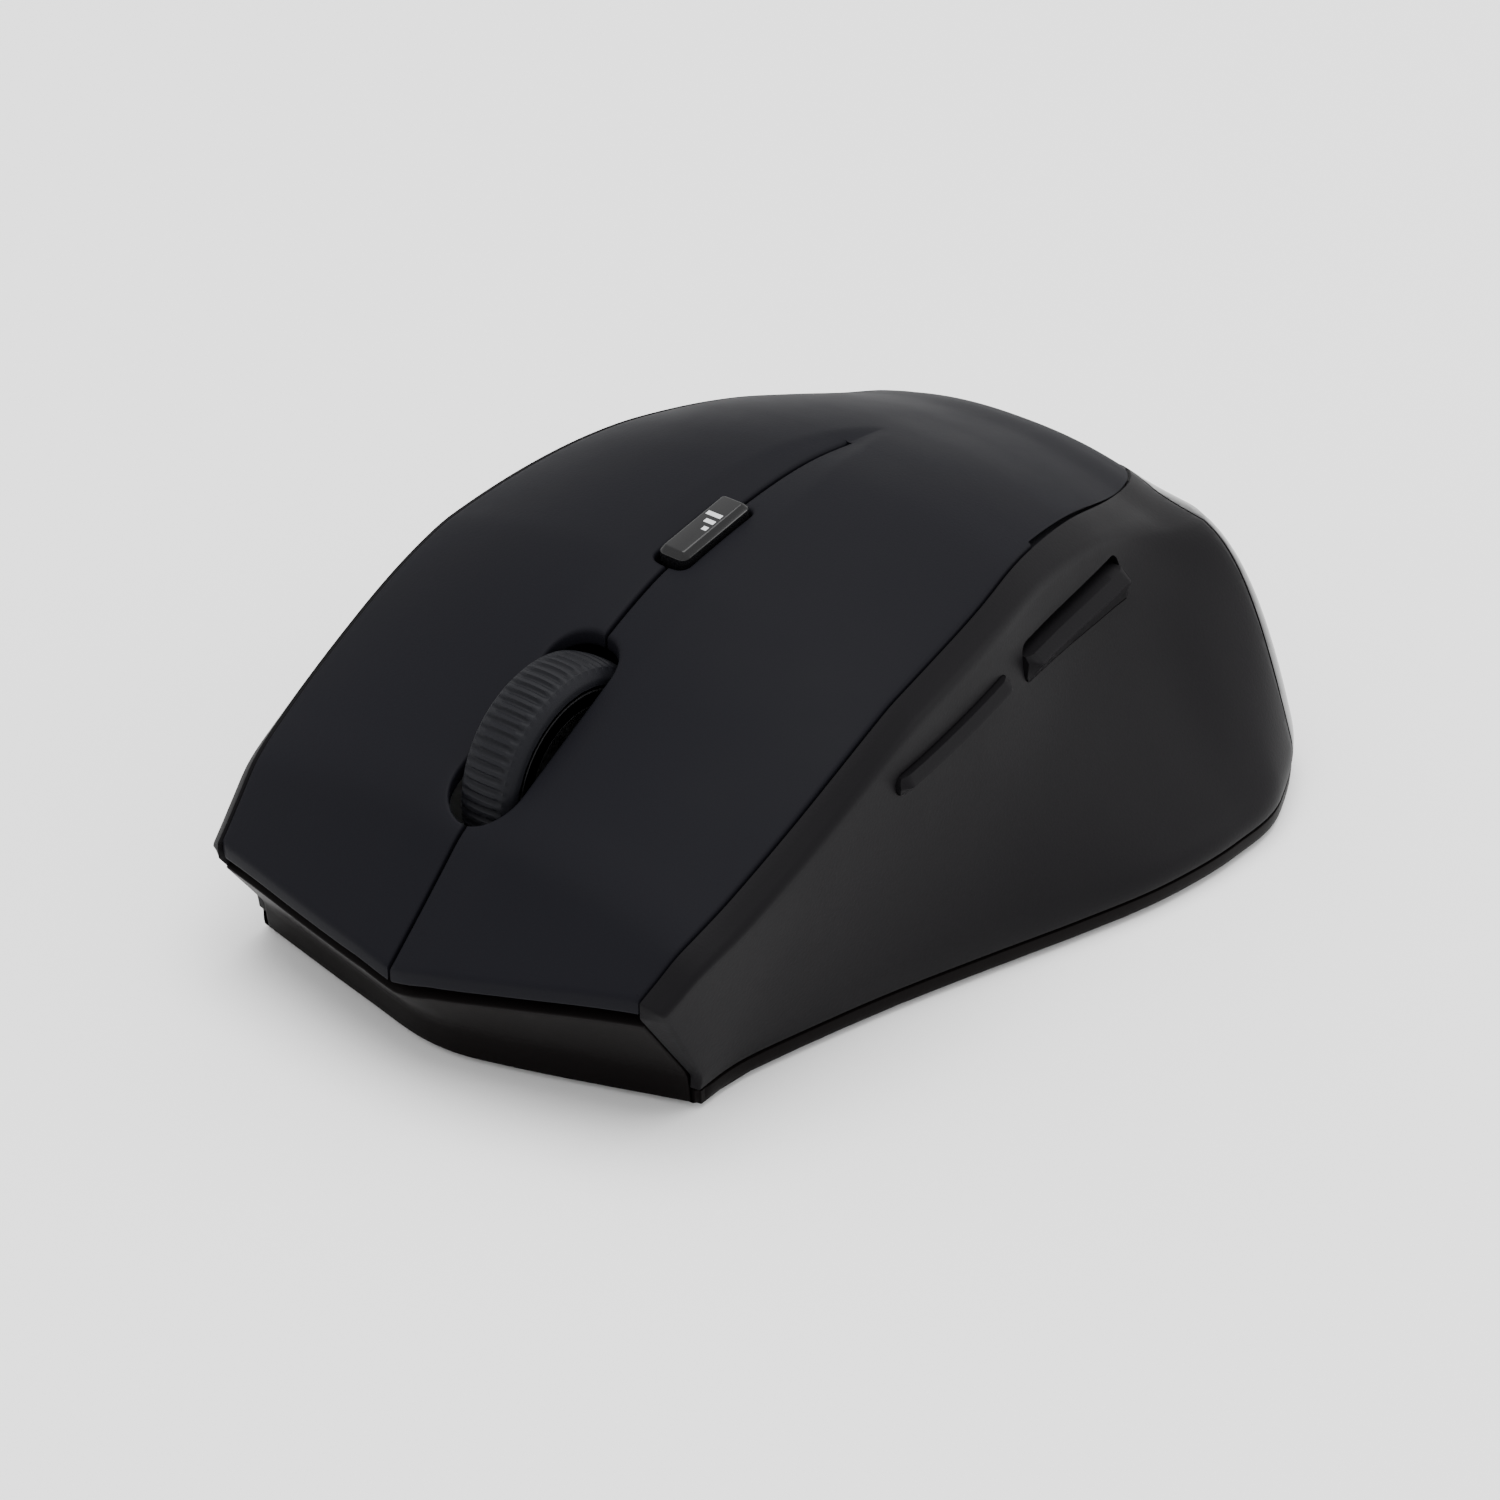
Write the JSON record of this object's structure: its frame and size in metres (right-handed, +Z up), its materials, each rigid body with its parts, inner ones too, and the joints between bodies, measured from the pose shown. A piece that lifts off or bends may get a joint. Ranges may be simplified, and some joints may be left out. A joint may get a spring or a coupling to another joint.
{
  "type": "computer mouse",
  "caption": "Right-handed wireless computer mouse with thumb rest, scroll wheel, resolution button and thumb buttons, as an openable assembly.",
  "frame": {"origin": "middle of the footprint's bounding box, on the desk surface", "axes": "+Z up, the front with the main buttons points to -Y, the thumb side is +X"},
  "size_m": [0.0766, 0.1108, 0.0428],
  "materials": {
    "soft": "soft-touch coated black plastic, fine grain",
    "side": "soft-touch coated dark grey-brown plastic",
    "satin": "satin black moulded plastic with a warm tone",
    "gloss": "polished black plastic",
    "rubber": "moulded rubber, ribbed",
    "grey": "grey acetal",
    "white": "white acetal",
    "board": "green solder mask on glass-epoxy board",
    "chip": "black moulding compound",
    "clear": "clear moulded lens",
    "steel": "plated steel",
    "contact": "plated spring brass",
    "glide": "low-friction glide sheet",
    "cell": "printed foil sleeve, plain"
  },
  "bodies": {
    "case": {"palm_cover": "soft", "rear_trim": "gloss", "left_side_panel": "side", "right_side_panel": "side", "base": "satin", "front_glide": "glide", "rear_glide": "glide", "battery_left": "cell", "battery_right": "cell", "contact_left": "steel", "contact_right": "contact", "contact_bridge": "steel", "contact_spring": "steel", "main_board": "board", "optical_sensor": "chip", "sensor_lens": "clear", "controller_chip": "chip", "crystal": "steel", "board_screw_1": "steel", "board_screw_2": "steel", "left_switch": "chip", "right_switch": "chip", "middle_switch": "chip", "scroll_encoder": "grey", "top_frame": "satin", "top_board": "board", "dpi_switch": "steel", "side_board": "board", "forward_switch": "chip", "back_switch": "chip", "power_switch": "steel", "case_screw_1": "steel", "case_screw_2": "steel", "case_screw_3": "steel", "case_screw_4": "steel"},
    "left_button": {"left_button": "soft"},
    "right_button": {"right_button": "soft"},
    "left_plunger": {"left_plunger": "white"},
    "right_plunger": {"right_plunger": "white"},
    "wheel_carriage": {"wheel_cradle": "white"},
    "wheel": {"wheel_tyre": "rubber", "wheel_hub": "grey"},
    "middle_plunger": {"middle_plunger": "white"},
    "dpi_button": {"dpi_button": "gloss"},
    "forward_button": {"forward_button": "side"},
    "back_button": {"back_button": "side"},
    "battery_door": {"battery_door": "satin"},
    "power_slider": {"power_slider": "white"}
  },
  "joints": [
    {"name": "left_button_press", "type": "hinge", "parent": "case", "child": "left_button", "pos_m": [0.00868, 0.01806, 0.0385], "axis": [1, 0, 0], "range_deg": [0, 0.75], "stiffness_Nm_per_rad": 3.2},
    {"name": "right_button_press", "type": "hinge", "parent": "case", "child": "right_button", "pos_m": [-0.02122, 0.01806, 0.0385], "axis": [1, 0, 0], "range_deg": [0, 0.75], "stiffness_Nm_per_rad": 3.2},
    {"name": "left_plunger_travel", "type": "slide", "parent": "case", "child": "left_plunger", "axis": [0, 0, -1], "range_m": [0, 0.00075]},
    {"name": "right_plunger_travel", "type": "slide", "parent": "case", "child": "right_plunger", "axis": [0, 0, -1], "range_m": [0, 0.00075]},
    {"name": "wheel_press", "type": "slide", "parent": "case", "child": "wheel_carriage", "axis": [0, 0, -1], "range_m": [0, 0.0006], "stiffness_N_per_m": 1600},
    {"name": "wheel_spin", "type": "hinge", "parent": "wheel_carriage", "child": "wheel", "pos_m": [-0.00677, -0.02897, 0.02322], "axis": [1, 0, 0], "continuous": true},
    {"name": "middle_plunger_travel", "type": "slide", "parent": "case", "child": "middle_plunger", "axis": [0, 0, -1], "range_m": [0, 0.0006]},
    {"name": "dpi_press", "type": "slide", "parent": "case", "child": "dpi_button", "axis": [0, 0, -1], "range_m": [0, 0.0005], "stiffness_N_per_m": 2400},
    {"name": "forward_press", "type": "slide", "parent": "case", "child": "forward_button", "axis": [-1, 0, 0], "range_m": [0, 0.0006], "stiffness_N_per_m": 2000},
    {"name": "back_press", "type": "slide", "parent": "case", "child": "back_button", "axis": [-1, 0, 0], "range_m": [0, 0.0006], "stiffness_N_per_m": 2000},
    {"name": "battery_door_open", "type": "hinge", "parent": "case", "child": "battery_door", "pos_m": [-0.00627, -0.00247, 0.0008], "axis": [-1, 0, 0], "range_deg": [0, 80]},
    {"name": "power_slide", "type": "slide", "parent": "case", "child": "power_slider", "axis": [0, 1, 0], "range_m": [0, 0.003]}
  ],
  "couplings": [
    {"joint": "left_plunger_travel", "follows": "left_button_press", "m_per_rad": 0.05392},
    {"joint": "right_plunger_travel", "follows": "right_button_press", "m_per_rad": 0.05392},
    {"joint": "middle_plunger_travel", "follows": "wheel_press", "ratio": 1}
  ]
}
